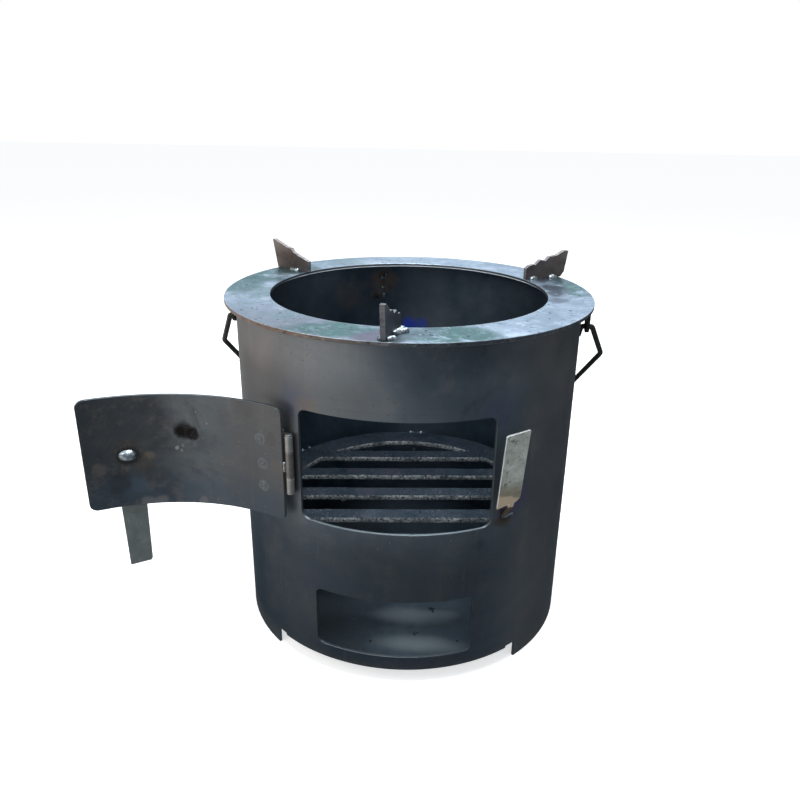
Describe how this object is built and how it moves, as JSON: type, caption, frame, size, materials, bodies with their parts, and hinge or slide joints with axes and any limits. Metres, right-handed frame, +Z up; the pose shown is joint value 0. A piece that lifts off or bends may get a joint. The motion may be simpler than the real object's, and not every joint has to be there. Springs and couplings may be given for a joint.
{
  "type": "wood stove",
  "caption": "Portable cylindrical wood stove in sheet steel: hinged fire door with latch, grate, ash opening, top ring with serrated pot supports, and a wire bail handle.",
  "frame": {"origin": "centre of the base circle, on the ground plane under the shell", "axes": "+Z up along the stove's axis, -Y out through the fire door opening, +X to the right as seen from the front; the fire door hinge is on the left (-X)"},
  "size_m": [0.5446, 0.4045, 0.417],
  "materials": {
    "shell_steel": "bare hot-rolled sheet, satin, heat-blued, with stains and fine scratches",
    "ring_steel": "bare sheet, pale blue-grey satin with pits and teal heat tint",
    "weld_metal": "raw weld beads, rippled and shiny",
    "support_steel": "brown-grey flame-cut plate, dull",
    "grate_steel": "dark blue-grey plate, rough bright cut edges",
    "hinge_steel": "brown-grey satin steel",
    "plug_marks": "plug-weld marks, light rings on the plate",
    "zinc_strip": "galvanised strip, mottled grey-green, brown and gold heat tint at its foot",
    "bar_steel": "grey-green strip, satin, speckled",
    "rivet_steel": "bright steel, smooth",
    "rod_black": "near-black rod and strap, dull, rubbed along the edges"
  },
  "bodies": {
    "stove_body": {"body_shell": "shell_steel", "seam_tacks": "weld_metal", "top_ring": "ring_steel", "ring_stitch_welds": "weld_metal", "pot_support_front": "support_steel", "pot_support_rear_left": "support_steel", "pot_support_rear_right": "support_steel", "pot_support_welds": "weld_metal", "floor_plate": "shell_steel", "floor_tacks": "weld_metal", "fire_grate": "grate_steel", "grate_tabs": "shell_steel", "grate_tacks": "weld_metal", "hinge_body_leaf": "hinge_steel", "hinge_pin": "rivet_steel", "hinge_leaf_welds": "weld_metal", "latch_keeper": "zinc_strip", "keeper_weld": "weld_metal", "bail_lug_left": "rod_black", "bail_lug_right": "rod_black", "bail_lug_welds": "weld_metal"},
    "door": {"door_plate": "shell_steel", "hinge_door_leaf": "hinge_steel", "door_plug_welds": "plug_marks", "door_edge_tack": "weld_metal", "latch_rivet": "rivet_steel"},
    "latch": {"latch_bar": "bar_steel"},
    "bail": {"bail_handle": "rod_black"}
  },
  "joints": [
    {"name": "door_hinge", "type": "hinge", "parent": "stove_body", "child": "door", "pos_m": [-0.10533, -0.1647, 0.241], "axis": [0, 0, 1], "range_deg": [0, 180]},
    {"name": "latch_pivot", "type": "hinge", "parent": "door", "child": "latch", "pos_m": [-0.27785, -0.14677, 0.236], "axis": [-0.3453, 0.9385, 0], "range_deg": [0, 165]},
    {"name": "bail_pivot", "type": "hinge", "parent": "stove_body", "child": "bail", "pos_m": [0, 0, 0.347], "axis": [1, 0, 0], "range_deg": [0, 230]}
  ]
}
